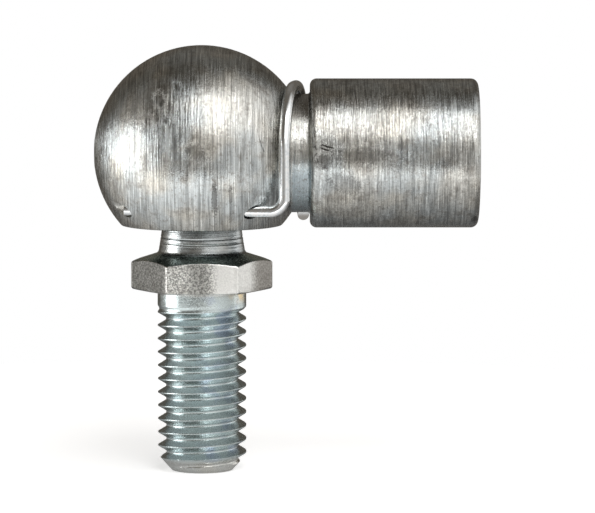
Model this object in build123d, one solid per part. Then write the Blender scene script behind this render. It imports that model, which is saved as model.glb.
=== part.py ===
"""Angle ball joint: ball socket, threaded ball stud, inner snap ring and wire safety clip.

Millimetres. The origin is the centre of the ball. +X runs along the socket's shank,
out through its threaded mouth. -Z runs down the ball stud, out through its thread.
The safety clip's leg crosses the socket on its -Y side.
"""

import os
from math import cos, radians, sin, sqrt, tan

from build123d import *

# ---- driving sizes -------------------------------------------------------------

# Ball and the running gap around it
ball_d = 16.0
ball_gap = 0.05

# Socket head: a turned sphere, cut flat underneath
head_d = 24.0
head_drop = 8.0
pole_flat_d = 3.2
mouth_chamfer = 0.4
head_rim_round = 0.25

# Socket neck and shank
neck_length = 2.03
neck_depth = 1.7
shank_d = 16.6
shank_end = 30.75
neck_corner_round = 0.3
shank_shoulder_round = 0.75
shank_end_round = 0.8

# Female thread in the shank, modelled at its tap drill size
tap_drill_d = 8.5
tapped_depth = 18.0
tap_countersink_d = 10.4
drill_point_angle = 118.0

# Ball stud
stud_neck_d = 8.4
stud_neck_spread = 8.5
stud_neck_shows = 3.1
collar_fillet = 0.6
hex_across_flats = 13.73
hex_turn = 1.85
hex_cone_angle = 18.0
hex_corner_height = 3.1
hex_bottom_break = 0.25

# M10 stud under the collar, modelled as a plain cylinder of its thread's crests
stud_thread_d = 9.9
stud_length = 20.3
stud_end_d = 6.9
stud_end_chamfer_length = 1.7

# Snap ring inside the socket
ring_wire_d = 1.2
ring_drop = 3.6
ring_ball_gap = 0.08
ring_mouth_angle = 26.0
ring_groove_side_gap = 0.1
ring_groove_end_gap = 0.1

# Safety clip: a leg through the head, and a bow around the neck
clip_wire_d = 1.3
clip_hole_d = 1.7
leg_angle = 9.7
leg_ball_gap = 0.74
leg_end_setback = 0.3
leg_bend_r = 1.6
upright_head_gap = 0.28
bow_neck_gap = 0.2
bow_head_gap = 0.2
bow_shoulder_gap = 0.06
bow_back_share = 0.8
bow_end_angle = 252.0

# How far a cutter reaches past the surface that it cuts
cut_margin = 2.0

# ---- sizes worked out from them --------------------------------------------------

ball_r = ball_d / 2
bore_r = ball_r + ball_gap
head_r = head_d / 2
shank_r = shank_d / 2
neck_r = shank_r - neck_depth
ring_wire_r = ring_wire_d / 2
clip_wire_r = clip_wire_d / 2

# The neck starts where it comes out of the round head.
neck_start = sqrt(head_r**2 - neck_r**2)
shank_start = neck_start + neck_length
collar_z = head_drop + stud_neck_shows

# The ring touches the ball's lower half all round, but for its running gap.
ring_centre_r = sqrt((ball_r + ring_ball_gap + ring_wire_r) ** 2 - ring_drop**2)
ring_groove_width = ring_wire_d + 2 * ring_groove_side_gap
# The groove is deep enough for the ring to open over the ball as it snaps in.
ring_groove_r = ball_r + ring_wire_d + ring_groove_end_gap

# The leg lies under the ball and within its widest radius, so the ball can't pass it.
leg_offset = ball_r - clip_wire_r
leg_drop = sqrt((ball_r + leg_ball_gap + clip_wire_r) ** 2 - leg_offset**2)
leg_turn = radians(leg_angle)

# The bow hugs the neck and passes between the head and the shank's shoulder.
bow_r = neck_r + bow_neck_gap + clip_wire_r
bow_top_x = sqrt((head_r + bow_head_gap + clip_wire_r) ** 2 - bow_r**2)
bow_end_x = shank_start - bow_shoulder_gap - clip_wire_r

# The collar's cone spreads from the foot of the neck to the hexagon's corners.
hex_corner_r = hex_across_flats / 2 / cos(radians(30))
neck_top_z = -sqrt(ball_r**2 - (stud_neck_d / 2) ** 2)
neck_foot_r = stud_neck_d / 2 + (collar_z + neck_top_z) * tan(radians(stud_neck_spread))
hex_top_z = -collar_z - (hex_corner_r - neck_foot_r) * tan(radians(hex_cone_angle))
hex_bottom_z = hex_top_z - hex_corner_height

stud_r = stud_thread_d / 2
stud_end_z = hex_bottom_z - stud_length


# ---- pieces --------------------------------------------------------------------


def leg_point(along):
    """A point on the clip leg's line, which slants outwards as it nears the shank."""
    return Vector(
        along * cos(leg_turn) - leg_offset * sin(leg_turn),
        -along * sin(leg_turn) - leg_offset * cos(leg_turn),
        -leg_drop,
    )


def round_head():
    """The spherical head, with its turned pole and its flat underside."""
    pole_x = sqrt(head_r**2 - (pole_flat_d / 2) ** 2)
    beyond_pole = Plane(origin=(-pole_x, 0, 0), z_dir=(-1, 0, 0))
    underneath = Plane(origin=(0, 0, -head_drop), z_dir=(0, 0, -1))
    offcut = Rectangle(2 * head_d, 2 * head_d)
    head = Sphere(head_r) - extrude(underneath * offcut, amount=head_r)
    head -= extrude(beyond_pole * offcut, amount=head_r)
    return fillet(head.edges().group_by(Axis.Z)[0], head_rim_round)


def neck_and_shank():
    """The neck that grows out of the head, and the shank, turned about X."""
    with BuildSketch(Plane.XY) as section:
        with BuildLine():
            Polyline(
                (0, 0),
                (0, neck_r),
                (shank_start, neck_r),
                (shank_start, shank_r),
                (shank_end, shank_r),
                (shank_end, 0),
                (0, 0),
            )
        make_face()
        fillet(nearest(section.vertices(), shank_start, neck_r), neck_corner_round)
        fillet(nearest(section.vertices(), shank_start, shank_r), shank_shoulder_round)
        fillet(nearest(section.vertices(), shank_end, shank_r), shank_end_round)
    return revolve(section.sketch, axis=Axis.X)


def nearest(vertices, x, y):
    """The vertex of a sketch that lies closest to a place."""
    return vertices.sort_by_distance((x, y, 0))[0]


def ball_bore():
    """The ball's space: a dome over the ball, and a straight bore down to the mouth."""
    dome_top = (0, bore_r)
    dome_side = (bore_r, 0)
    dome_mid = (bore_r * cos(radians(45)), bore_r * sin(radians(45)))
    mouth_z = -head_drop
    below_z = mouth_z - cut_margin
    chamfer_r = bore_r + mouth_chamfer
    groove_top = -ring_drop + ring_groove_width / 2
    groove_bottom = -ring_drop - ring_groove_width / 2
    with BuildSketch(Plane.XZ) as section:
        with BuildLine():
            ThreePointArc(dome_top, dome_mid, dome_side)
            Polyline(
                dome_side,
                (bore_r, groove_top),
                (ring_groove_r, groove_top),
                (ring_groove_r, groove_bottom),
                (bore_r, groove_bottom),
                (bore_r, mouth_z + mouth_chamfer),
                (chamfer_r, mouth_z),
                (chamfer_r, below_z),
                (0, below_z),
                dome_top,
            )
        make_face()
    return revolve(section.sketch, axis=Axis.Z)


def tapped_hole():
    """The blind hole of the female thread, with its countersink and drill point."""
    drill_r = tap_drill_d / 2
    sink_r = tap_countersink_d / 2
    bottom_x = shank_end - tapped_depth
    point_depth = drill_r / tan(radians(drill_point_angle / 2))
    sink_depth = sink_r - drill_r
    beyond_x = shank_end + sink_depth
    with BuildSketch(Plane.XY) as section:
        with BuildLine():
            Polyline(
                (bottom_x - point_depth, 0),
                (bottom_x, drill_r),
                (shank_end - sink_depth, drill_r),
                (beyond_x, sink_r + sink_depth),
                (beyond_x, 0),
                (bottom_x - point_depth, 0),
            )
        make_face()
    return revolve(section.sketch, axis=Axis.X)


def clip_hole():
    """The drilled hole that the clip's leg passes through, right across the head."""
    along_leg = Vector(cos(leg_turn), -sin(leg_turn), 0)
    drill = Plane(origin=leg_point(-head_d), z_dir=along_leg)
    return extrude(drill * Circle(clip_hole_d / 2), amount=2 * head_d)


def make_socket_housing():
    blank = round_head() + neck_and_shank()
    return blank - ball_bore() - tapped_hole() - clip_hole()


def off_the_bar():
    """What the bar's six flats leave off the collar, with a corner close to the X axis."""
    collar_top = Plane(origin=(0, 0, -collar_z))
    hexagon = RegularPolygon(hex_corner_r, 6, major_radius=True)
    waste = Circle(2 * hex_corner_r) - Rot(0, 0, hex_turn) * hexagon
    return extrude(collar_top * waste, amount=2 * (collar_z + hex_bottom_z))


def make_ball_stud():
    """Ball, neck, hexagon collar and stud, turned from one piece of hexagon bar."""
    with BuildSketch(Plane.XZ) as section:
        with BuildLine():
            ThreePointArc((0, ball_r), (ball_r, 0), (stud_neck_d / 2, neck_top_z))
            Polyline(
                (stud_neck_d / 2, neck_top_z),
                (neck_foot_r, -collar_z),
                (hex_corner_r, hex_top_z),
                (hex_corner_r, hex_bottom_z + hex_bottom_break),
                (hex_corner_r - hex_bottom_break, hex_bottom_z),
                (stud_r, hex_bottom_z),
                (stud_r, stud_end_z + stud_end_chamfer_length),
                (stud_end_d / 2, stud_end_z),
                (0, stud_end_z),
                (0, ball_r),
            )
        make_face()
        fillet(nearest(section.vertices(), neck_foot_r, -collar_z), collar_fillet)
    return revolve(section.sketch, axis=Axis.Z) - off_the_bar()


def make_snap_ring():
    """The C-shaped wire ring that the ball snaps through, open towards the shank."""
    start_angle = ring_mouth_angle / 2
    ring_plane = Plane(origin=(0, 0, -ring_drop))
    path = ring_plane * CenterArc(
        (0, 0), ring_centre_r, start_angle, 360 - ring_mouth_angle
    )
    wire = Plane(origin=path @ 0, z_dir=path % 0) * Circle(ring_wire_r)
    return sweep(wire, path=path)


def bow_point(angle, x):
    """A place on the bow, by its angle round the neck from the front, -Y, side."""
    a = radians(angle)
    return Vector(x, -bow_r * cos(a), bow_r * sin(a))


def clip_path():
    """The wire's centre line: leg, bend, upright, then a bow over and under the neck."""
    head_reach = sqrt(head_r**2 - leg_drop**2 - leg_offset**2)
    upright_offset = head_r + upright_head_gap + clip_wire_r
    bend_reach = sqrt(upright_offset**2 - leg_offset**2)
    leg_end = leg_point(leg_end_setback - head_reach)
    bend = leg_point(bend_reach)
    top = bow_point(90, bow_top_x)
    back = bow_point(180, bow_top_x + bow_back_share * (bow_end_x - bow_top_x))
    end = bow_point(bow_end_angle, bow_end_x)
    # The upright stands further out than the bow's radius, so a short straight
    # over the neck parts the front quarter turn from the rest of the bow.
    upright_top = Vector(bend.X, bend.Y, 0)
    front_to_top = Vector(top.X - bend.X, top.Y - bend.Y, 0)
    over_end = top - front_to_top * (1 - bow_r / front_to_top.length)
    with BuildLine() as path:
        FilletPolyline(leg_end, bend, upright_top, radius=leg_bend_r)
        TangentArc(upright_top, over_end, tangent=(0, 0, 1))
        Line(over_end, top)
        behind = TangentArc(top, back, tangent=front_to_top)
        TangentArc(back, end, tangent=behind % 1)
    return path.wire()


def make_safety_clip():
    path = clip_path()
    wire = Plane(origin=path @ 0, z_dir=path % 0) * Circle(clip_wire_r)
    return sweep(wire, path=path)


# ---- files ---------------------------------------------------------------------

pieces = {
    "socket_housing": make_socket_housing(),
    "ball_stud": make_ball_stud(),
    "snap_ring": make_snap_ring(),
    "safety_clip": make_safety_clip(),
}

os.makedirs("parts", exist_ok=True)
for name, piece in pieces.items():
    piece.label = name
    export_step(piece, f"parts/{name}.step")
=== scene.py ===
"""Angle ball joint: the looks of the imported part, in a plain white studio.

Sizes are in millimetres up to the point where a mesh is made. X runs along the
socket's shank and -Z down the ball stud, as in the CAD model.
"""

from math import atan2, cos, hypot, pi, radians, sin, sqrt, tan

import bmesh
import bpy
from mathutils import Matrix, Vector


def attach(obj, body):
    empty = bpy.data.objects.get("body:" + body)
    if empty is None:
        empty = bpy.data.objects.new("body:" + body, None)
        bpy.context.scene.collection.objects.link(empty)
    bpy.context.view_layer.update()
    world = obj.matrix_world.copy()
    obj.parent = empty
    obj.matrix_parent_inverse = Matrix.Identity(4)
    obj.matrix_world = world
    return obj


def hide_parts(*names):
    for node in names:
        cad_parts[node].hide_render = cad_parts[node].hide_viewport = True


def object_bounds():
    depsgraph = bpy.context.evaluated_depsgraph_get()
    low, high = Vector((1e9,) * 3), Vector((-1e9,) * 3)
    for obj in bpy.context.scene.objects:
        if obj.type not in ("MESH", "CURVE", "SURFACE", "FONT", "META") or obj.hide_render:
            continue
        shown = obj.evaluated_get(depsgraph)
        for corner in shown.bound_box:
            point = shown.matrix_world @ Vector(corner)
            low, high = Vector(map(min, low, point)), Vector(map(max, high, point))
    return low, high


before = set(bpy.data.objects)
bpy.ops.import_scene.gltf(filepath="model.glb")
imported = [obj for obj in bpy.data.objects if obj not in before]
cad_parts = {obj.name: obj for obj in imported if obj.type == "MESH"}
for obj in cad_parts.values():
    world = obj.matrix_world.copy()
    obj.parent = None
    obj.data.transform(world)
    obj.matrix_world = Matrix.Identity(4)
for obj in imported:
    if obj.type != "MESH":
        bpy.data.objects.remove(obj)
cad_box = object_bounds()

MM = 0.001

# ---- sizes -----------------------------------------------------------------------

# The body's sizes are the CAD model's own. The threads, worn edges and turning marks
# are added here.
BALL_R = 8.0
HEAD_R = 12.0
HEAD_DROP = 8.0
SHANK_START = 12.05
SHANK_END = 30.75

# Ball stud, down to the hexagon's cone
NECK_R = 4.2
NECK_Z = -sqrt(BALL_R**2 - NECK_R**2)
NECK_SPREAD = radians(8.5)
COLLAR_Z = -11.1
COLLAR_R = NECK_R + (NECK_Z - COLLAR_Z) * tan(NECK_SPREAD)
COLLAR_FILLET = 0.6

# Hexagon
HEX_APOTHEM = 6.865
HEX_CORNER_R = HEX_APOTHEM / cos(pi / 6)
HEX_TURN = radians(1.85)
HEX_CONE = radians(18)
HEX_HEIGHT = 3.1
HEX_TOP_Z = COLLAR_Z - (HEX_CORNER_R - COLLAR_R) * tan(HEX_CONE)
HEX_BOTTOM_Z = HEX_TOP_Z - HEX_HEIGHT

# Threaded end
STUD_R = 4.95
STUD_LENGTH = 20.3
STUD_END_Z = HEX_BOTTOM_Z - STUD_LENGTH
STUD_END_R = 3.45
STUD_END_CHAMFER = 1.7

# Threads: M10 x 1.5, right-hand. They have more turns than show, so that the first and
# the last ones close against the faces at both ends. STUD_CREST_Z is where a crest
# passes the stud's left side.
PITCH = 1.5
STUD_THREAD_DEPTH = 0.93
STUD_CREST_Z = -17.75
STUD_THREAD_START_Z = -16.9
STUD_THREAD_FADE = 1.1
STUD_TURNS = (-3, 13)
TAP_R = 4.25
TAPPED_DEPTH = 18.0
NUT_THREAD_DEPTH = 0.78
NUT_THREAD_LENGTH = 16.0
NUT_THREAD_FADE = 1.5
NUT_TURNS = (-1, 13)
SINK_R = 5.2
DRILL_POINT = radians(59)
HOLE_FROM_X = 10.0

# Edges worn and rounded by plating and tumbling, the hexagon's corners most of all
HEX_EDGE_ROUND = 0.12
HEX_EDGE_WEAR = 0.2
HEX_CORNER_ROUND = 0.3

# Turning marks round the stud's neck: ripples (height, radians per mm, phase), and
# deeper grooves (where, and how deep).
NECK_RIPPLES = ((0.003, 31, 0), (0.003, 47, 1))
NECK_GROOVES = ((-9.35, 0.06), (-9.72, 0.025), (-9.95, 0.035), (-10.25, 0.02))
NECK_GROOVE_HALF_WIDTH = 0.09

# How finely the stud is divided
BALL_STEPS = 56
NECK_STEP = 0.045
FILLET_STEPS = 6
EDGE_STEPS = 5

# ---- meshes ----------------------------------------------------------------------

MERGE_DISTANCE = 1e-4
SHARP_ANGLE = radians(32)


def link(thing):
    """Puts a new object into the scene."""
    bpy.context.scene.collection.objects.link(thing)
    return thing


def new_piece(name, bm, body, material, node):
    """Turns a bmesh in millimetres into a shaded piece that stands for a CAD node."""
    bmesh.ops.remove_doubles(bm, verts=bm.verts, dist=MERGE_DISTANCE)
    bmesh.ops.recalc_face_normals(bm, faces=bm.faces)
    bm.transform(Matrix.Scale(MM, 4))
    mesh = bpy.data.meshes.new(name)
    bm.to_mesh(mesh)
    bm.free()
    mesh.polygons.foreach_set("use_smooth", [True] * len(mesh.polygons))
    mesh.set_sharp_from_angle(angle=SHARP_ANGLE)
    mesh.materials.append(material)
    piece = link(bpy.data.objects.new(name, mesh))
    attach(piece, body)
    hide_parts(node)
    return piece


def skin(bm, rings):
    """Quads between rings of points. The last point of a ring lies on its first one."""
    rows = [[bm.verts.new(p) for p in ring] for ring in rings]
    for upper, lower in zip(rows, rows[1:]):
        for i in range(len(upper) - 1):
            bm.faces.new((upper[i], upper[i + 1], lower[i + 1], lower[i]))


def even_steps(start, end, count):
    """Evenly spread values from start to end, both included."""
    return [start + (end - start) * i / count for i in range(count + 1)]


def smoothstep(low, high, value):
    """0 below low and 1 above high, with a smooth rise between them."""
    t = min(1.0, max(0.0, (value - low) / (high - low)))
    return t * t * (3 - 2 * t)


# ---- thread ----------------------------------------------------------------------

# One turn of the thread's section, from the stud's crest to its root and back: how far
# along the pitch, and the share of its depth. The tapped hole's thread fits round it.
THREAD_SECTION = (
    (0.0, 0.0),
    (0.04, 0.01),
    (0.065, 0.05),
    (0.085, 0.11),
    (0.25, 0.55),
    (0.395, 0.93),
    (0.42, 0.975),
    (0.45, 0.995),
    (0.5, 1.0),
    (0.55, 0.995),
    (0.58, 0.975),
    (0.605, 0.93),
    (0.75, 0.55),
    (0.915, 0.11),
    (0.935, 0.05),
    (0.96, 0.01),
)


def thread_rows(first_turn, last_turn):
    """(turns along the helix, share of the thread's depth) for each row of its mesh."""
    rows = []
    for turn in range(first_turn, last_turn):
        rows += [(turn + along, depth) for along, depth in THREAD_SECTION]
    return rows


# ---- ball stud -------------------------------------------------------------------


def hexagon_columns():
    """Angles round the stud: every 2 degrees, and closer where a corner is rounded."""
    near_corner = (0.0, 0.35, 0.7, 1.1, 2.0)
    across_flat = tuple(range(4, 57, 2))
    sector = near_corner + across_flat + tuple(60 - a for a in reversed(near_corner[1:]))
    angles = [radians(60 * side + a) for side in range(6) for a in sector]
    return [HEX_TURN + a for a in angles + [2 * pi]]


def hexagon_radius(angle):
    """Distance from the axis to the rounded hexagon, at an angle round it."""
    from_corner = (angle - HEX_TURN + pi / 6) % (pi / 3) - pi / 6
    flat_r = HEX_APOTHEM / cos(pi / 6 - abs(from_corner))
    round_centre = (HEX_APOTHEM - HEX_CORNER_ROUND) / cos(pi / 6)
    spread = HEX_CORNER_ROUND**2 - (round_centre * sin(from_corner)) ** 2
    if spread < 0:
        return flat_r
    return min(flat_r, round_centre * cos(from_corner) + sqrt(spread))


def neck_radius(z):
    """The neck's radius with its turning marks."""
    smooth = NECK_R + (NECK_Z - z) * tan(NECK_SPREAD)
    ripple = sum(height * sin(z * waves + phase) for height, waves, phase in NECK_RIPPLES)
    groove = 0.0
    for at, depth in NECK_GROOVES:
        groove += depth * max(0.0, 1 - abs(z - at) / NECK_GROOVE_HALF_WIDTH)
    return smooth + ripple - groove


def ball_and_neck_profile():
    """(radius, z) from the top of the ball down to the start of the collar's fillet."""
    neck_polar = pi - atan2(NECK_R, -NECK_Z)
    profile = [(BALL_R * sin(a), BALL_R * cos(a)) for a in even_steps(0, neck_polar, BALL_STEPS)]
    z = NECK_Z
    while z > COLLAR_Z + COLLAR_FILLET:
        profile.append((neck_radius(z), z))
        z -= NECK_STEP
    return profile


def fillet_arc(corner, before, after, radius, steps):
    """Points of a fillet in a (radius, z) profile: at corner, between two directions."""
    into = Vector(before).normalized()
    out = Vector(after).normalized()
    half = into.angle(out) / 2
    reach = radius / tan(pi / 2 - half)
    start = Vector(corner) - into * reach
    end = Vector(corner) + out * reach
    middle = Vector(corner) + (out - into).normalized() * radius / cos(half)
    arm_start = start - middle
    arm_end = end - middle
    points = []
    for t in even_steps(0, 1, steps):
        arm = arm_start.lerp(arm_end, t).normalized() * radius
        points.append(tuple(middle + arm))
    return points


def collar_profile(angle):
    """(radius, z) down the collar at one angle: cone, rounded edge, flat, underside."""
    side_r = hexagon_radius(angle)
    edge_z = COLLAR_Z - (side_r - COLLAR_R) * tan(HEX_CONE)
    edge_round = HEX_EDGE_ROUND + HEX_EDGE_WEAR * (side_r - HEX_APOTHEM)
    along_neck = (sin(NECK_SPREAD), -cos(NECK_SPREAD))
    along_cone = (cos(HEX_CONE), -sin(HEX_CONE))
    down = (0, -1)
    inward = (-1, 0)
    rows = fillet_arc((COLLAR_R, COLLAR_Z), along_neck, along_cone, COLLAR_FILLET, FILLET_STEPS)
    cone_start_r = rows[-1][0]
    for t in (0.25, 0.5, 0.75):
        r = cone_start_r + (side_r - edge_round - cone_start_r) * t
        rows.append((r, COLLAR_Z - (r - COLLAR_R) * tan(HEX_CONE)))
    rows += fillet_arc((side_r, edge_z), along_cone, down, edge_round, EDGE_STEPS)
    flat_top = rows[-1][1]
    flat_bottom = HEX_BOTTOM_Z + edge_round
    for t in (0.2, 0.4, 0.6, 0.8):
        rows.append((side_r, flat_top + (flat_bottom - flat_top) * t))
    rows += fillet_arc((side_r, HEX_BOTTOM_Z), down, inward, edge_round, EDGE_STEPS)
    rows.append(((STUD_R + side_r) / 2, HEX_BOTTOM_Z))
    rows.append((STUD_R, HEX_BOTTOM_Z))
    return rows


def stud_thread_radius(depth_share, z):
    """Radius on the thread: shallower as it starts, and cut by the end's chamfer."""
    started = 1 - smoothstep(STUD_THREAD_START_Z - STUD_THREAD_FADE, STUD_THREAD_START_Z, z)
    r = STUD_R - STUD_THREAD_DEPTH * depth_share * started
    slope = (STUD_R - STUD_END_R) / STUD_END_CHAMFER
    return min(r, STUD_END_R + (z - STUD_END_Z) * slope)


def make_stud(material):
    """Ball, neck, hexagon and thread in one skin, in rings from the top down."""
    columns = hexagon_columns()
    rings = []
    for r, z in ball_and_neck_profile():
        rings.append([(r * cos(a), r * sin(a), z) for a in columns])
    collar = [collar_profile(a) for a in columns]
    for row in zip(*collar):
        rings.append([(r * cos(a), r * sin(a), z) for (r, z), a in zip(row, columns)])
    for turns, depth in thread_rows(*STUD_TURNS):
        ring = []
        for a in columns:
            z = STUD_CREST_Z - PITCH * turns + PITCH * (a - pi) / (2 * pi)
            z = max(STUD_END_Z, min(HEX_BOTTOM_Z, z))
            r = stud_thread_radius(depth, z)
            ring.append((r * cos(a), r * sin(a), z))
        rings.append(ring)
    rings.append([(STUD_END_R * cos(a), STUD_END_R * sin(a), STUD_END_Z) for a in columns])
    rings.append([(0, 0, STUD_END_Z) for a in columns])
    bm = bmesh.new()
    skin(bm, rings)
    new_piece("threaded_stud", bm, "stud", material, "ball_stud")


# ---- socket ----------------------------------------------------------------------

# The housing's flat faces: the axis that each one looks along, and its place on it.
HOUSING_FLATS = ((0, SHANK_END), (0, SHANK_START), (2, -HEAD_DROP))
# How near counts as being there, in millimetres or radians
NEAR = 0.01


def nut_thread_radius(depth_share, x):
    """Radius on the tapped hole's thread: faded at its deep end, opened by the countersink."""
    inside = SHANK_END - x
    cut = 1 - smoothstep(NUT_THREAD_LENGTH - NUT_THREAD_FADE, NUT_THREAD_LENGTH, inside)
    r = TAP_R + NUT_THREAD_DEPTH * (1 - depth_share) * cut
    return max(r, SINK_R - inside)


def lies_flat(face):
    """Whether a face of the housing, in metres, is part of one of its flat faces."""
    for axis, place in HOUSING_FLATS:
        if all(abs(v.co[axis] / MM - place) < NEAR for v in face.verts):
            return True
    return False


def keep_flats_flat(mesh):
    """Sharp edges round the flat faces, so that their rounded rims don't shade them."""
    bm = bmesh.new()
    bm.from_mesh(mesh)
    for edge in bm.edges:
        flat = [lies_flat(face) for face in edge.link_faces]
        if any(flat) and not all(flat):
            edge.smooth = False
    bm.to_mesh(mesh)
    bm.free()


def from_axis(v):
    """A vertex's distance from the shank's axis."""
    return hypot(v.co.y, v.co.z)


def mouth_rim(bm):
    """The CAD's own points round the mouth of the tapped hole, by their angle."""
    rim = {}
    for v in bm.verts:
        if abs(v.co.x - SHANK_END) < NEAR and abs(from_axis(v) - SINK_R) < NEAR:
            # An angle a hair under a full turn counts as 0.
            angle = (atan2(-v.co.z, v.co.y) + NEAR) % (2 * pi) - NEAR
            rim[round(angle, 4)] = v.co.copy()
    return rim


def in_plain_hole(face):
    """Whether a face is part of the CAD's plain tapped hole."""
    return all(v.co.x > HOLE_FROM_X and from_axis(v) < SINK_R + NEAR for v in face.verts)


def make_housing(material):
    """The CAD housing's own surfaces, with a real thread in place of the plain hole."""
    bm = bmesh.new()
    bm.from_mesh(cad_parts["socket_housing"].data)
    bm.transform(Matrix.Scale(1 / MM, 4))
    plain_hole = [face for face in bm.faces if in_plain_hole(face)]
    bmesh.ops.delete(bm, geom=plain_hole, context="FACES")
    rim = mouth_rim(bm)
    columns = sorted(rim)
    mouth = [rim[a] for a in columns]
    columns.append(columns[0] + 2 * pi)
    bottom_x = SHANK_END - TAPPED_DEPTH
    rings = [mouth + mouth[:1]]
    for turns, depth in thread_rows(*NUT_TURNS):
        ring = []
        for a in columns:
            x = SHANK_END - PITCH * turns - PITCH * a / (2 * pi)
            x = max(bottom_x, min(SHANK_END, x))
            r = nut_thread_radius(depth, x)
            ring.append((x, r * cos(a), -r * sin(a)))
        rings.append(ring)
    rings.append([(bottom_x - TAP_R / tan(DRILL_POINT), 0, 0) for a in columns])
    skin(bm, rings)
    piece = new_piece("tapped_socket", bm, "socket", material, "socket_housing")
    even = piece.modifiers.new("even_normals", "WEIGHTED_NORMAL")
    even.keep_sharp = True
    keep_flats_flat(piece.data)


# ---- materials -------------------------------------------------------------------


class Nodes:
    """Short calls that add linked nodes to one material's or world's tree."""

    def __init__(self, owner):
        owner.use_nodes = True
        self.tree = owner.node_tree
        self.tree.nodes.clear()

    def add(self, kind, **settings):
        node = self.tree.nodes.new(kind)
        for name, value in settings.items():
            setattr(node, name, value)
        return node

    def put(self, value, socket):
        """Links a socket, or writes a plain value on it."""
        if isinstance(value, bpy.types.NodeSocket):
            self.tree.links.new(value, socket)
        else:
            socket.default_value = value

    def place(self):
        """Where the surface is, in millimetres, in the piece's own frame at rest."""
        return self.scaled(self.add("ShaderNodeTexCoord").outputs["Object"], 1 / MM)

    def math(self, operation, *values):
        node = self.add("ShaderNodeMath", operation=operation)
        for value, socket in zip(values, node.inputs):
            self.put(value, socket)
        return node.outputs[0]

    def plus(self, first, second):
        return self.math("ADD", first, second)

    def minus(self, first, second):
        return self.math("SUBTRACT", first, second)

    def times(self, first, second):
        return self.math("MULTIPLY", first, second)

    def distance(self, value, centre):
        return self.math("ABSOLUTE", self.minus(value, centre))

    def vector(self, x, y, z):
        node = self.add("ShaderNodeCombineXYZ")
        for value, socket in zip((x, y, z), node.inputs):
            self.put(value, socket)
        return node.outputs[0]

    def split(self, vector):
        node = self.add("ShaderNodeSeparateXYZ")
        self.put(vector, node.inputs[0])
        return node.outputs

    def scaled(self, vector, scale):
        node = self.add("ShaderNodeVectorMath", operation="SCALE")
        self.put(vector, node.inputs[0])
        self.put(scale, node.inputs["Scale"])
        return node.outputs[0]

    def length(self, vector):
        node = self.add("ShaderNodeVectorMath", operation="LENGTH")
        self.put(vector, node.inputs[0])
        return node.outputs["Value"]

    def noise(self, vector, scale, detail, roughness=0.5):
        node = self.add("ShaderNodeTexNoise")
        self.put(vector, node.inputs["Vector"])
        self.put(scale, node.inputs["Scale"])
        self.put(detail, node.inputs["Detail"])
        self.put(roughness, node.inputs["Roughness"])
        return node.outputs[0]

    def ramp(self, value, low, high, to_low=0.0, to_high=1.0):
        """Value mapped smoothly from low..high onto to_low..to_high."""
        node = self.add("ShaderNodeMapRange", interpolation_type="SMOOTHSTEP")
        for v, socket in zip((value, low, high, to_low, to_high), node.inputs):
            self.put(v, socket)
        return node.outputs[0]

    def mix(self, factor, first, second, blend="MIX"):
        """Two colours, blended."""
        node = self.add("ShaderNodeMix", data_type="RGBA", blend_type=blend)
        self.put(factor, node.inputs[0])
        self.put(first, node.inputs[6])
        self.put(second, node.inputs[7])
        return node.outputs[2]

    def grey(self, value):
        """A number as a grey colour."""
        node = self.add("ShaderNodeCombineColor")
        for socket in node.inputs:
            self.put(value, socket)
        return node.outputs[0]

    def shaded(self, colour, shade, factor=1.0):
        """A colour times a number."""
        return self.mix(factor, colour, self.grey(shade), blend="MULTIPLY")

    def bump(self, height, distance, normal=None):
        """Bump from a height of 0..1 that stands for distance, in millimetres."""
        node = self.add("ShaderNodeBump")
        self.put(1.0, node.inputs["Strength"])
        self.put(distance * MM, node.inputs["Distance"])
        self.put(height, node.inputs["Height"])
        if normal is not None:
            self.put(normal, node.inputs["Normal"])
        return node.outputs[0]

    def output(self, kind, surface):
        """The end of the tree: a material's output, or the world's."""
        self.put(surface, self.add(kind).inputs["Surface"])


QUARTER_TURN = 0.25


def metal_output(nodes, colour, roughness, normal, anisotropic=0.0, tangent_axis=None):
    """The metal shader at the end of a material. The shine is drawn out across marks
    that run round tangent_axis."""
    shader = nodes.add("ShaderNodeBsdfPrincipled")
    shader.inputs["Metallic"].default_value = 1.0
    shader.inputs["Anisotropic"].default_value = anisotropic
    shader.inputs["Anisotropic Rotation"].default_value = QUARTER_TURN
    nodes.put(colour, shader.inputs["Base Color"])
    nodes.put(roughness, shader.inputs["Roughness"])
    nodes.put(normal, shader.inputs["Normal"])
    if tangent_axis:
        tangent = nodes.add("ShaderNodeTangent", direction_type="RADIAL", axis=tangent_axis)
        nodes.put(tangent.outputs[0], shader.inputs["Tangent"])
    nodes.output("ShaderNodeOutputMaterial", shader.outputs[0])


# Zinc in general
WARM = (0.67, 0.64, 0.57, 1)
COOL = (0.60, 0.635, 0.64, 1)
PLAIN = (0.65, 0.645, 0.61, 1)
# Dull stains. The same colour also serves as painted shade on the socket's neck, on the
# hexagon's right flat and on the wires low down.
STAIN_AND_SHADE = (0.27, 0.25, 0.225, 1)
KNOCKED = (0.05, 0.045, 0.04, 1)
# A bluish tone on the socket's neck, and films on the stud's neck, cone and thread
SOCKET_BLUE = (0.47, 0.55, 0.59, 1)
STUD_BLUE = (0.36, 0.41, 0.44, 1)
CONE_GREEN = (0.50, 0.66, 0.60, 1)
THREAD_BLUE = (0.60, 0.69, 0.70, 1)
THREAD_VIOLET = (0.44, 0.50, 0.62, 1)
YELLOW = (0.78, 0.62, 0.36, 1)
# The hexagon, with painted light and painted shade on its flats, and the stud's cut end
SATIN = (0.85, 0.85, 0.815, 1)
PAINTED_LIGHT_SATIN = (1.0, 1.0, 0.97, 1)
LEFT_FACET_PAINTED_SHADE = (0.22, 0.215, 0.205, 1)
FRONT_FLAT_PAINTED_SHADE = (0.34, 0.34, 0.33, 1)
# Wires
OILED_RING = (0.33, 0.32, 0.30, 1)
BRIGHT_CLIP = (0.95, 0.98, 1.0, 1)


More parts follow.
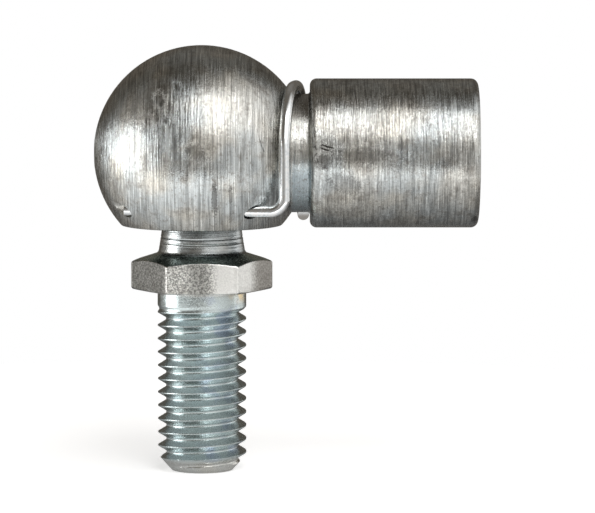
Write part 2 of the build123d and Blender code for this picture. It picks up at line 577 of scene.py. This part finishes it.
def zinc_colour(nodes, place, streaks, stains=0.6):
    """Passivated zinc: grey with faint warm and cool tints, dull stains and streaks."""
    tint = nodes.ramp(nodes.noise(place, 0.14, 2), 0.38, 0.62)
    warmth = nodes.ramp(nodes.noise(place, 0.3, 3), 0.45, 0.75, 0.0, 0.7)
    colour = nodes.mix(tint, COOL, PLAIN)
    colour = nodes.mix(warmth, colour, WARM)
    stain = nodes.ramp(nodes.noise(place, 0.55, 7, 0.72), 0.5, 0.66, 0.0, stains)
    colour = nodes.mix(stain, colour, STAIN_AND_SHADE)
    return nodes.shaded(colour, nodes.ramp(streaks, 0.38, 0.6, 0.68, 1.12))


# Knocks, scratches and dark patches on the socket's front: centre in mm, turn about Y
# in degrees, half length, half width, and how dark the mark is.
SOCKET_MARKS = (
    ((6.65, -9.75, 1.8), 16, 0.70, 0.06, 0.6),
    ((6.95, -9.70, 1.0), 20, 0.60, 0.06, 0.6),
    ((1.67, -10.9, -4.5), 1, 1.9, 0.30, 0.6),
    ((3.4, -10.9, -4.0), 1, 0.9, 0.25, 0.45),
    ((-3.7, -10.6, 4.3), 20, 0.60, 0.45, 0.5),
    ((-0.4, -12.0, 0.8), 60, 1.70, 1.0, 0.3),
    ((13.9, -8.2, 1.25), 76, 0.75, 0.11, 1.0),
    ((13.7, -8.2, 0.90), 72, 0.65, 0.10, 1.0),
    ((12.6, -8.2, 1.15), 40, 0.35, 0.16, 0.8),
    ((13.6, -8.2, -1.0), -30, 0.32, 0.16, 0.8),
    ((12.9, -8.2, -0.3), 10, 0.30, 0.18, 0.7),
    ((12.7, -8.2, 0.4), -20, 0.28, 0.10, 0.7),
    ((15.9, -7.7, -3.0), 70, 1.80, 1.0, 0.35),
    ((13.6, -8.2, -0.2), 90, 1.3, 0.9, 0.45),
    ((17.5, -8.2, 0.2), 90, 4.50, 1.1, 0.35),
    ((-4.3, -9.2, 6.3), 25, 1.2, 0.7, 0.4),
    ((-5.6, -9.9, 3.8), -10, 1.1, 0.5, 0.35),
    ((-2.2, -9.1, 7.6), 35, 1.0, 0.5, 0.35),
    ((30.3, -4.3, -7.1), 20, 0.60, 0.5, 0.7),
)
MARK_HALF_DEPTH = 2.0


def knocks(nodes, place, marks):
    """0 on clean metal and up to 1 in a mark, with ragged edges."""
    ragged = nodes.ramp(nodes.noise(place, 5.0, 4, 0.7), 0.3, 0.7, -0.45, 0.45)
    total = 0.0
    for centre, turn, half_length, half_width, dark in marks:
        local = nodes.add("ShaderNodeMapping", vector_type="TEXTURE")
        nodes.put(place, local.inputs["Vector"])
        nodes.put(centre, local.inputs["Location"])
        nodes.put((0, radians(-turn), 0), local.inputs["Rotation"])
        nodes.put((half_width, MARK_HALF_DEPTH, half_length), local.inputs["Scale"])
        reach = nodes.plus(nodes.length(local.outputs[0]), ragged)
        total = nodes.math("MAXIMUM", total, nodes.ramp(reach, 0.6, 1.2, dark, 0.0))
    return total


def turning_marks(nodes, along, around, per_mm, spread, detail, roughness):
    """Noise drawn out round the turning axis: per_mm along it, and spread round it."""
    stretched = nodes.vector(
        nodes.times(along, per_mm),
        nodes.times(around[0], spread),
        nodes.times(around[1], spread),
    )
    return nodes.noise(stretched, 1.0, detail, roughness)


# Zones of the socket. A pair is where a look starts to fade in or out, and where it ends.
NECK_FROM_X = 10.0
NECK_MIDDLE_X = 11.1
NECK_HALF_WIDTH = (0.9, 1.2)
NECK_BLUE_HEIGHT = (-2.5, 0.5)
# Height of the painted shade at the neck's top, under the clip's bow
BOW_SHADE_HEIGHT = (3.6, 4.6)
SHANK_FROM_X = SHANK_START - 0.1
# Past the head the radius counts too, so that streaks ring the shank's end face.
RADIUS_SHARE = 0.7


def along_socket(nodes, x, radius):
    """Distance along the surface: by arc on the head, by X and radius past it."""
    polar = nodes.math("ARCTAN2", radius, nodes.times(x, -1.0))
    past_head = nodes.math("GREATER_THAN", x, NECK_FROM_X)
    on_head = nodes.times(nodes.times(polar, HEAD_R), nodes.minus(1.0, past_head))
    on_shank = nodes.minus(x, nodes.times(radius, RADIUS_SHARE))
    return nodes.plus(on_head, nodes.times(on_shank, past_head))


def neck_blue_and_painted_shade(nodes, colour, x, z):
    """The neck behind the clip is bluish and darker lower down, with painted shade at its top
    under the clip's bow.
    """
    from_middle = nodes.distance(x, NECK_MIDDLE_X)
    lower_blue = nodes.ramp(from_middle, *NECK_HALF_WIDTH, 0.8, 0.0)
    lower_blue = nodes.times(lower_blue, nodes.ramp(z, *NECK_BLUE_HEIGHT, 1.0, 0.1))
    colour = nodes.mix(lower_blue, colour, SOCKET_BLUE)
    # Painted shade at the top of the neck, where the head and the shank shade it under the
    # clip's bow.
    painted_shade_under_bow = nodes.ramp(from_middle, *NECK_HALF_WIDTH, 0.7, 0.0)
    painted_shade_under_bow = nodes.times(painted_shade_under_bow, nodes.ramp(z, *BOW_SHADE_HEIGHT))
    return nodes.mix(painted_shade_under_bow, colour, STAIN_AND_SHADE)


def turned_about_x():
    """The socket: turning streaks run round X, over the head, the neck and the shank."""
    material = bpy.data.materials.new("turned_zinc_socket")
    nodes = Nodes(material)
    place = nodes.place()
    x, y, z = nodes.split(place)
    radius = nodes.math("SQRT", nodes.plus(nodes.times(y, y), nodes.times(z, z)))
    around = (nodes.math("DIVIDE", y, radius), nodes.math("DIVIDE", z, radius))
    along = along_socket(nodes, x, radius)
    lines = turning_marks(nodes, along, around, 5.0, 3.2, 3, 0.65)
    hairs = turning_marks(nodes, along, around, 7.0, 1.6, 1, 0.5)
    bands = turning_marks(nodes, along, around, 0.9, 1.0, 2, 0.5)
    pits = nodes.noise(place, 2.4, 7, 0.72)
    marks = knocks(nodes, place, SOCKET_MARKS)
    streaks = nodes.plus(nodes.times(lines, 0.75), nodes.times(bands, 0.25))
    colour = zinc_colour(nodes, place, streaks)
    bright_hairs = nodes.ramp(hairs, 0.57, 0.67, 0.0, 0.42)
    dark_hairs = nodes.ramp(hairs, 0.33, 0.43, 0.66, 1.0)
    colour = nodes.shaded(colour, nodes.plus(bright_hairs, dark_hairs))
    # The shank is a little duller than the head, with more specks.
    specks = nodes.ramp(nodes.noise(place, 3.2, 5, 0.7), 0.42, 0.58, 1.0, 0.83)
    on_shank = nodes.math("GREATER_THAN", x, SHANK_FROM_X)
    colour = nodes.shaded(colour, specks, on_shank)
    colour = neck_blue_and_painted_shade(nodes, colour, x, z)
    colour = nodes.mix(nodes.ramp(pits, 0.55, 0.64, 0.0, 0.65), colour, STAIN_AND_SHADE)
    colour = nodes.mix(marks, colour, KNOCKED)
    dullness = nodes.plus(nodes.times(lines, 0.5), nodes.times(pits, 0.5))
    roughness = nodes.ramp(dullness, 0.38, 0.62, 0.15, 0.34)
    normal = nodes.bump(lines, 0.06)
    normal = nodes.bump(pits, 0.03, normal)
    normal = nodes.bump(nodes.minus(1.0, marks), 0.05, normal)
    metal_output(nodes, colour, roughness, normal, 0.8, "X")
    return material


# Zones of the stud, by height, by how far to the right, and by how far it faces up.
STUD_NECK_END = (-11.5, -11.1)
CONE_TOP = (-11.3, -11.0)
CONE_END = (-12.4, -12.3)
FACES_UP = (0.75, 0.9)
HEX_MIDDLE_Z = -13.6
HEX_HALF_HEIGHT = (1.75, 1.95)
STANDS_UPRIGHT = (0.35, 0.6)
# Where the hexagon's painted light and painted shade lie, by X
LEFT_FACET_EDGE = (-4.0, -3.9)
FRONT_EDGE_X = -0.15
FRONT_EDGE_HALF_WIDTH = (0.5, 1.6)
BRIGHT_FACET_START = (0.9, 2.2)
BRIGHT_FACET_END = (5.2, 6.6)
PLAIN_TOP = (-15.2, -15.1)
PLAIN_END = (-17.0, -15.6)
YELLOW_START = (2.6, 4.4)
THREAD_TOP = (-16.0, -15.2)
THREAD_END = (-34.6, -33.8)
VIOLET_START = (-1.0, 1.5)
BARE_END = (-34.4, -33.9)


def stud_films(nodes, colour, place, x, z, facing_up):
    """Thin films: blue and violet on the thread, blue on the neck, green on the cone,
    and a touch of yellow at the right of the plain length under the hexagon."""
    thread = nodes.ramp(z, *THREAD_TOP, 0.8, 0.0)
    thread = nodes.times(thread, nodes.ramp(z, *THREAD_END))
    colour = nodes.mix(thread, colour, THREAD_BLUE)
    violet = nodes.ramp(nodes.noise(place, 0.45, 4), 0.5, 0.64)
    violet = nodes.times(violet, nodes.ramp(x, *VIOLET_START, 0.1, 0.6))
    colour = nodes.mix(nodes.times(violet, thread), colour, THREAD_VIOLET)
    colour = nodes.mix(nodes.ramp(z, *STUD_NECK_END, 0.0, 0.4), colour, STUD_BLUE)
    cone = nodes.times(nodes.ramp(z, *CONE_END), nodes.ramp(z, *CONE_TOP, 1.0, 0.0))
    cone = nodes.times(cone, nodes.ramp(facing_up, *FACES_UP, 0.0, 0.7))
    colour = nodes.mix(cone, colour, CONE_GREEN)
    yellow = nodes.times(nodes.ramp(x, *YELLOW_START), nodes.ramp(z, *PLAIN_END))
    yellow = nodes.times(yellow, nodes.ramp(z, *PLAIN_TOP, 1.0, 0.0))
    yellow = nodes.times(yellow, nodes.ramp(nodes.noise(place, 0.9, 3), 0.4, 0.6, 0.2, 0.9))
    return nodes.mix(yellow, colour, YELLOW)


def hexagon_satin(nodes, place, x, y, grain):
    """The hexagon's drawn satin flats, with painted light from X 1 to 6 mm and painted shade on
    the left flat, past X 6 mm and down the front flat's middle.
    """
    satin = nodes.shaded(SATIN, nodes.ramp(grain, 0.42, 0.57, 1.2, 0.36))
    worn = nodes.ramp(nodes.noise(place, 0.7, 5, 0.65), 0.45, 0.65, 0.0, 0.35)
    satin = nodes.mix(worn, satin, STAIN_AND_SHADE)
    # Painted light across the hexagon from X 1 to 6 mm.
    bright = nodes.ramp(x, *BRIGHT_FACET_START, 0.0, 0.8)
    bright = nodes.times(bright, nodes.ramp(x, *BRIGHT_FACET_END, 1.0, 0.0))
    satin = nodes.mix(bright, satin, PAINTED_LIGHT_SATIN)
    # Painted shade on the left flat.
    left = nodes.ramp(x, *LEFT_FACET_EDGE, 0.8, 0.0)
    satin = nodes.mix(left, satin, LEFT_FACET_PAINTED_SHADE, blend="MULTIPLY")
    # Painted shade past the painted light, on the right flat.
    satin = nodes.mix(nodes.ramp(x, *BRIGHT_FACET_END, 0.0, 0.8), satin, STAIN_AND_SHADE)
    # Painted shade down the middle of the front flat.
    front = nodes.ramp(nodes.distance(x, FRONT_EDGE_X), *FRONT_EDGE_HALF_WIDTH, 0.6, 0.0)
    front = nodes.times(front, nodes.math("LESS_THAN", y, 0.0))
    return nodes.mix(front, satin, FRONT_FLAT_PAINTED_SHADE, blend="MULTIPLY")


def turned_about_z():
    """The ball stud: fine rings round Z, a satin hexagon and a bluish thread."""
    material = bpy.data.materials.new("turned_zinc_stud")
    nodes = Nodes(material)
    place = nodes.place()
    x, y, z = nodes.split(place)
    facing_up = nodes.split(nodes.add("ShaderNodeNewGeometry").outputs["Normal"])[2]
    lines = turning_marks(nodes, z, (x, y), 4.0, 0.12, 3, 0.6)
    pits = nodes.noise(place, 2.6, 6, 0.7)
    grain = nodes.noise(place, 5.0, 4, 0.75)
    upright = nodes.ramp(nodes.math("ABSOLUTE", facing_up), *STANDS_UPRIGHT, 1.0, 0.0)
    at_collar = nodes.ramp(nodes.distance(z, HEX_MIDDLE_Z), *HEX_HALF_HEIGHT, 1.0, 0.0)
    flats = nodes.times(upright, at_collar)
    colour = zinc_colour(nodes, place, lines, 0.45)
    colour = stud_films(nodes, colour, place, x, z, facing_up)
    # The flats' satin carries painted light and painted shade.
    colour = nodes.mix(flats, colour, hexagon_satin(nodes, place, x, y, grain))
    # The cut end is bare and bright.
    colour = nodes.mix(nodes.ramp(z, *BARE_END, 0.5, 0.0), colour, SATIN)
    smooth = nodes.times(nodes.ramp(pits, 0.35, 0.65, 0.14, 0.3), nodes.minus(1.0, flats))
    dull = nodes.times(nodes.ramp(grain, 0.35, 0.65, 0.34, 0.5), flats)
    roughness = nodes.plus(smooth, dull)
    normal = nodes.bump(lines, 0.014)
    normal = nodes.bump(nodes.plus(pits, nodes.times(grain, flats)), 0.022, normal)
    metal_output(nodes, colour, roughness, normal, 0.2, "Z")
    return material


# Height below which the wires get painted shade, at the clip's cut end under the neck
CUT_END_PAINTED_SHADE = (-7.3, -6.6)


def drawn_wire(name, colour, roughness):
    """Spring wire with specks of dull plating. Low down, where the clip's cut end lies under the
    neck, painted shade darkens it.
    """
    material = bpy.data.materials.new(name)
    nodes = Nodes(material)
    place = nodes.place()
    specks = nodes.noise(place, 3.0, 5, 0.6)
    tone = nodes.shaded(colour, nodes.ramp(specks, 0.3, 0.75, 1.1, 0.86))
    _, _, z = nodes.split(place)
    # Painted shade on the wire low down, for the shank's shade over the clip's cut end.
    tone = nodes.mix(nodes.ramp(z, *CUT_END_PAINTED_SHADE, 0.9, 0.0), tone, STAIN_AND_SHADE)
    rough = nodes.ramp(specks, 0.35, 0.7, roughness, roughness + 0.14)
    metal_output(nodes, tone, rough, nodes.bump(specks, 0.008))
    return material


def give(node, material):
    """A CAD mesh keeps its shape and gets a new material."""
    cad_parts[node].material_slots[0].material = material


make_stud(turned_about_z())
make_housing(turned_about_x())
give("snap_ring", drawn_wire("oiled_ring_steel", OILED_RING, 0.3))
give("safety_clip", drawn_wire("bright_clip_wire", BRIGHT_CLIP, 0.13))

# ---- camera and light ------------------------------------------------------------

CAMERA_AT = Vector((10.0, -420.0, 27.5)) * MM
LOOK_AT = Vector((10.68, 0.0, -11.58)) * MM
SENSOR_WIDTH = 36.0
FOCAL_LENGTH = 228.6


def aim(direction):
    """The rotation that turns a camera or a lamp along a direction."""
    return direction.to_track_quat("-Z", "Y").to_euler()


def add_camera():
    """The photograph's view: from a little above, and far enough off for a flat look."""
    data = bpy.data.cameras.new("camera")
    data.sensor_fit = "HORIZONTAL"
    data.sensor_width = SENSOR_WIDTH
    data.lens = FOCAL_LENGTH
    data.clip_start = 0.01
    data.clip_end = 20.0
    camera = link(bpy.data.objects.new("camera", data))
    camera.location = CAMERA_AT
    camera.rotation_euler = aim(LOOK_AT - CAMERA_AT)
    bpy.context.scene.camera = camera


def towards(azimuth, elevation):
    """A direction, in degrees. Azimuth 0 is the camera's side, and grows to the right."""
    az = radians(azimuth)
    el = radians(elevation)
    return Vector((sin(az) * cos(el), -cos(az) * cos(el), sin(el)))


def softbox(name, azimuth, elevation, width, height, radiance):
    """An area lamp, a metre away and facing the part, with an even radiance over its
    face. Its sides are in metres."""
    data = bpy.data.lights.new(name, "AREA")
    data.shape = "RECTANGLE"
    data.size = width
    data.size_y = height
    data.energy = radiance * pi * width * height
    lamp = link(bpy.data.objects.new(name, data))
    lamp.location = towards(azimuth, elevation)
    lamp.rotation_euler = aim(-lamp.location)


# What the metal mirrors, apart from the lamps: azimuth and elevation of the middle,
# how far from it the tone starts to fade and where it ends, all in degrees, and its
# radiance.
STUDIO_TONES = (
    (60, 20, 25, 70, 0.62),  # right wall
    (38, 48, 10, 40, 0.6),  # bright ceiling, right of the key lamp
    (-95, -10, 15, 50, 0.3),  # left wall, low
    (-50, -4, 5, 28, 0.35),  # left of the camera
    (5, -12, 10, 60, 0.16),  # room behind the camera
    (118, 0, 10, 32, 0.85),  # right wall, behind
    (180, 47, 6, 26, 0.06),  # back wall, high
    (103, 51, 6, 27, 0.34),  # right wall, high
    (-104, 32, 6, 24, 0.13),  # left wall, high
)
ROOM_TONE = (0.108, 0.096, 0.08, 1)
WHITE = (1, 1, 1, 1)


def add_world():
    """White to the camera. The metal mirrors a warm dim room with the studio's tones."""
    world = bpy.data.worlds.new("studio")
    bpy.context.scene.world = world
    nodes = Nodes(world)
    direction = nodes.add("ShaderNodeTexCoord").outputs["Generated"]
    total = 0.0
    for azimuth, elevation, inner, outer, radiance in STUDIO_TONES:
        dot = nodes.add("ShaderNodeVectorMath", operation="DOT_PRODUCT")
        nodes.put(direction, dot.inputs[0])
        nodes.put(towards(azimuth, elevation), dot.inputs[1])
        fades = (cos(radians(outer)), cos(radians(inner)))
        total = nodes.plus(total, nodes.ramp(dot.outputs["Value"], *fades, 0.0, radiance))
    room = nodes.add("ShaderNodeBackground")
    nodes.put(nodes.mix(1.0, nodes.grey(total), ROOM_TONE, blend="ADD"), room.inputs["Color"])
    white = nodes.add("ShaderNodeBackground")
    nodes.put(WHITE, white.inputs["Color"])
    pick = nodes.add("ShaderNodeMixShader")
    nodes.put(nodes.add("ShaderNodeLightPath").outputs["Is Camera Ray"], pick.inputs[0])
    nodes.put(room.outputs[0], pick.inputs[1])
    nodes.put(white.outputs[0], pick.inputs[2])
    nodes.output("ShaderNodeOutputWorld", pick.outputs[0])


FLOOR_GAP = 0.05
FLOOR_R = 102.0
FLOOR_SIDES = 96
# Its colour, and the light it gives off so that the camera sees it as white
FLOOR_WHITE = 0.9
FLOOR_LIFT = 0.55
# What the metal mirrors of it: painted shade that darkens the floor towards the back right, for
# the part's shadow and the light's falloff, and a painted glow in front and at its edge
FLOOR_SKEW = 0.4
FLOOR_DARK = 0.25
FLOOR_DARKENS = (-75.0, 40.0)
FLOOR_GLOW = 0.64
FLOOR_GLOW_FADES = (-85.0, 45.0)
FLOOR_EDGE_GLOW = 0.5
FLOOR_EDGE_FROM = 50.0
FLOOR_EDGE_ENDS = 10.0


def floor_paper():
    """White to the camera, with the part's soft shadow on it, and shaded in the metal."""
    material = bpy.data.materials.new("floor_paper")
    nodes = Nodes(material)
    ray = nodes.add("ShaderNodeLightPath")
    place = nodes.place()
    x, y, _ = nodes.split(place)
    back = nodes.plus(y, nodes.times(x, FLOOR_SKEW))
    to_camera = nodes.times(ray.outputs["Is Camera Ray"], FLOOR_WHITE)
    mirrored_tone = nodes.ramp(back, *FLOOR_DARKENS, FLOOR_WHITE, FLOOR_DARK)
    tone = nodes.math("MAXIMUM", mirrored_tone, to_camera)
    paper = nodes.add("ShaderNodeBsdfDiffuse")
    nodes.put(nodes.grey(tone), paper.inputs["Color"])
    lift = nodes.times(ray.outputs["Is Camera Ray"], FLOOR_LIFT)
    front = nodes.ramp(back, *FLOOR_GLOW_FADES, FLOOR_GLOW, 0.0)
    edge = nodes.ramp(nodes.length(place), FLOOR_EDGE_FROM, FLOOR_R, 0.0, FLOOR_EDGE_GLOW)
    edge = nodes.times(edge, nodes.math("LESS_THAN", back, FLOOR_EDGE_ENDS))
    mirrored_glow = nodes.times(ray.outputs["Is Glossy Ray"], nodes.plus(front, edge))
    glow = nodes.add("ShaderNodeEmission")
    nodes.put(nodes.plus(lift, mirrored_glow), glow.inputs["Strength"])
    both = nodes.add("ShaderNodeAddShader")
    nodes.put(paper.outputs[0], both.inputs[0])
    nodes.put(glow.outputs[0], both.inputs[1])
    nodes.output("ShaderNodeOutputMaterial", both.outputs[0])
    return material


def add_floor():
    """A round pale floor just under the stud."""
    bm = bmesh.new()
    bmesh.ops.create_circle(bm, cap_ends=True, segments=FLOOR_SIDES, radius=FLOOR_R * MM)
    mesh = bpy.data.meshes.new("floor")
    bm.to_mesh(mesh)
    bm.free()
    mesh.materials.append(floor_paper())
    floor = link(bpy.data.objects.new("floor", mesh))
    floor.location = (0, 0, cad_box[0].z - FLOOR_GAP * MM)


add_camera()
softbox("key_softbox", 13, 48, 0.33, 0.8, 3.1)
softbox("left_softbox", -86, 3, 0.62, 0.62, 3.5)
add_world()
add_floor()
bpy.context.scene.view_settings.view_transform = "Standard"
